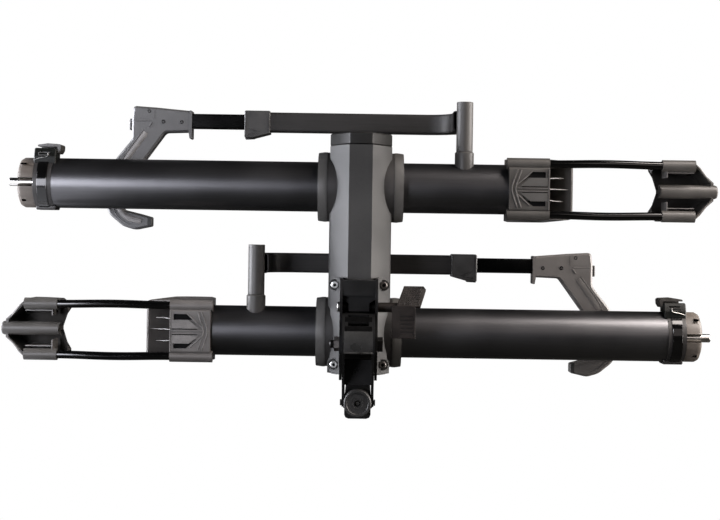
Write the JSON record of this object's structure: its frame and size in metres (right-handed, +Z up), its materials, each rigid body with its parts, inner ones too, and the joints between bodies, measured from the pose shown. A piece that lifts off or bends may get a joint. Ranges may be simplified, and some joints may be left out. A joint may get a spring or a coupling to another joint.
{
  "type": "hitch bike rack",
  "caption": "Folded hitch bike rack: round wheel trays cross a bevelled spine, each with a swinging hooked arm, a wheel cradle and a buckled strap, on a square tongue.",
  "frame": {"origin": "on the tongue's axis, where the hitch pin crosses it", "axes": "+Y along the tongue into the receiver, +Z up, +X to the right of someone standing behind"},
  "size_m": [1.412, 0.3864, 0.621],
  "materials": {
    "gunmetal_powder_coat": "satin powder coat",
    "black_anodised": "satin anodised",
    "gloss_black_enamel": "gloss",
    "black_nylon": "fine texture",
    "grey_nylon": "fine texture",
    "satin_steel": "satin",
    "bright_steel": "bright",
    "black_steel": "satin",
    "gloss_strap": "gloss",
    "brown_black_nylon": "fine texture"
  },
  "bodies": {
    "tongue": {"tongue": "gloss_black_enamel", "tongue_bracket": "gloss_black_enamel", "bracket_bolt_left": "black_steel", "bracket_bolt_right": "black_steel"},
    "cam_knob": {"cam_knob": "black_nylon"},
    "cam_shoe": {"cam_shoe": "black_steel"},
    "spine": {"spine": "gunmetal_powder_coat", "spine_end_cap": "gunmetal_powder_coat", "hinge_plate_left": "gunmetal_powder_coat", "hinge_plate_right": "gunmetal_powder_coat", "hinge_plate_bolt_1": "black_steel", "hinge_plate_bolt_2": "black_steel", "hinge_plate_bolt_3": "black_steel", "hinge_plate_bolt_4": "black_steel", "fold_bracket": "gloss_black_enamel", "pivot_bolt": "black_steel", "pivot_nut": "bright_steel", "upper_tray_tube": "black_anodised", "lower_tray_tube": "black_anodised", "upper_tube_collar": "black_nylon", "lower_tube_collar": "black_nylon", "upper_tray_end_cap": "black_nylon", "lower_tray_end_cap": "black_nylon", "upper_lock_ferrule": "bright_steel", "lower_lock_ferrule": "bright_steel", "upper_arm_post": "satin_steel", "lower_arm_post": "satin_steel", "upper_cradle_rod_low": "gloss_black_enamel", "lower_cradle_rod_low": "gloss_black_enamel", "upper_cradle_rod_high": "gloss_black_enamel", "lower_cradle_rod_high": "gloss_black_enamel", "upper_cradle_inner": "black_nylon", "lower_cradle_inner": "black_nylon", "upper_cradle_outer": "black_nylon", "lower_cradle_outer": "black_nylon"},
    "release_pedal": {"latch_shaft": "black_steel", "latch_pawl": "black_steel", "release_pedal": "brown_black_nylon"},
    "upper_arm": {"upper_arm_sleeve": "satin_steel", "upper_arm_tube": "black_anodised", "upper_arm_collar": "grey_nylon"},
    "upper_arm_latch": {"upper_arm_latch": "black_nylon"},
    "upper_slider": {"upper_arm_inner_tube": "gloss_black_enamel", "upper_hook": "grey_nylon"},
    "upper_hook_button": {"upper_hook_button": "black_nylon"},
    "upper_strap_base": {"upper_strap_base": "black_nylon", "upper_strap": "gloss_strap", "upper_strap_buckle": "grey_nylon"},
    "upper_buckle_lever": {"upper_buckle_lever": "grey_nylon"},
    "lower_arm": {"lower_arm_sleeve": "satin_steel", "lower_arm_tube": "black_anodised", "lower_arm_collar": "grey_nylon"},
    "lower_arm_latch": {"lower_arm_latch": "black_nylon"},
    "lower_slider": {"lower_arm_inner_tube": "gloss_black_enamel", "lower_hook": "grey_nylon"},
    "lower_hook_button": {"lower_hook_button": "black_nylon"},
    "lower_strap_base": {"lower_strap_base": "black_nylon", "lower_strap": "gloss_strap", "lower_strap_buckle": "grey_nylon"},
    "lower_buckle_lever": {"lower_buckle_lever": "grey_nylon"}
  },
  "joints": [
    {"name": "clamp_turn", "type": "hinge", "parent": "tongue", "child": "cam_knob", "pos_m": [0, -0.225, 0.007], "axis": [0, 1, 0], "range_deg": [0, 360]},
    {"name": "clamp_lift", "type": "slide", "parent": "tongue", "child": "cam_shoe", "axis": [0, 0, 1], "range_m": [0, 0.002]},
    {"name": "fold", "type": "hinge", "parent": "tongue", "child": "spine", "pos_m": [0, -0.249, 0.12], "axis": [1, 0, 0], "range_deg": [0, 115]},
    {"name": "pedal_press", "type": "hinge", "parent": "spine", "child": "release_pedal", "pos_m": [0, -0.232, 0.19], "axis": [1, 0, 0], "range_deg": [0, 10], "stiffness_Nm_per_rad": 2, "springref_deg": -17.19},
    {"name": "upper_arm_swing", "type": "hinge", "parent": "spine", "child": "upper_arm", "pos_m": [0.205, -0.134, 0.5588], "axis": [0, 0, 1], "range_deg": [-150, 0]},
    {"name": "upper_arm_latch_flip", "type": "hinge", "parent": "upper_arm", "child": "upper_arm_latch", "pos_m": [-0.2198, -0.021, 0.5278], "axis": [0, 1, 0], "range_deg": [-25, 0], "stiffness_Nm_per_rad": 0.02, "springref_deg": 28.65},
    {"name": "upper_hook_slide", "type": "slide", "parent": "upper_arm", "child": "upper_slider", "axis": [-1, 0, 0], "range_m": [-0.09, 0.12]},
    {"name": "upper_button_press", "type": "slide", "parent": "upper_slider", "child": "upper_hook_button", "axis": [1, 0, 0], "range_m": [0, 0.004], "stiffness_N_per_m": 300, "springref_m": -0.004},
    {"name": "upper_strap_slide", "type": "slide", "parent": "spine", "child": "upper_strap_base", "axis": [1, 0, 0], "range_m": [0, 0.25]},
    {"name": "upper_buckle_flip", "type": "hinge", "parent": "upper_strap_base", "child": "upper_buckle_lever", "pos_m": [-0.6425, -0.101, 0.4866], "axis": [1, 0, 0], "range_deg": [-60, 0], "stiffness_Nm_per_rad": 0.1, "springref_deg": 17.19},
    {"name": "lower_arm_swing", "type": "hinge", "parent": "spine", "child": "lower_arm", "pos_m": [-0.205, -0.134, 0.2698], "axis": [0, 0, 1], "range_deg": [0, 150]},
    {"name": "lower_arm_latch_flip", "type": "hinge", "parent": "lower_arm", "child": "lower_arm_latch", "pos_m": [0.2198, -0.021, 0.2388], "axis": [0, 1, 0], "range_deg": [0, 25], "stiffness_Nm_per_rad": 0.02, "springref_deg": -28.65},
    {"name": "lower_hook_slide", "type": "slide", "parent": "lower_arm", "child": "lower_slider", "axis": [1, 0, 0], "range_m": [-0.09, 0.12]},
    {"name": "lower_button_press", "type": "slide", "parent": "lower_slider", "child": "lower_hook_button", "axis": [-1, 0, 0], "range_m": [0, 0.004], "stiffness_N_per_m": 300, "springref_m": -0.004},
    {"name": "lower_strap_slide", "type": "slide", "parent": "spine", "child": "lower_strap_base", "axis": [-1, 0, 0], "range_m": [0, 0.25]},
    {"name": "lower_buckle_flip", "type": "hinge", "parent": "lower_strap_base", "child": "lower_buckle_lever", "pos_m": [0.6425, -0.101, 0.1976], "axis": [1, 0, 0], "range_deg": [-60, 0], "stiffness_Nm_per_rad": 0.1, "springref_deg": 17.19}
  ],
  "couplings": [
    {"joint": "clamp_turn", "follows": "clamp_lift", "rad_per_m": 3141.5}
  ]
}
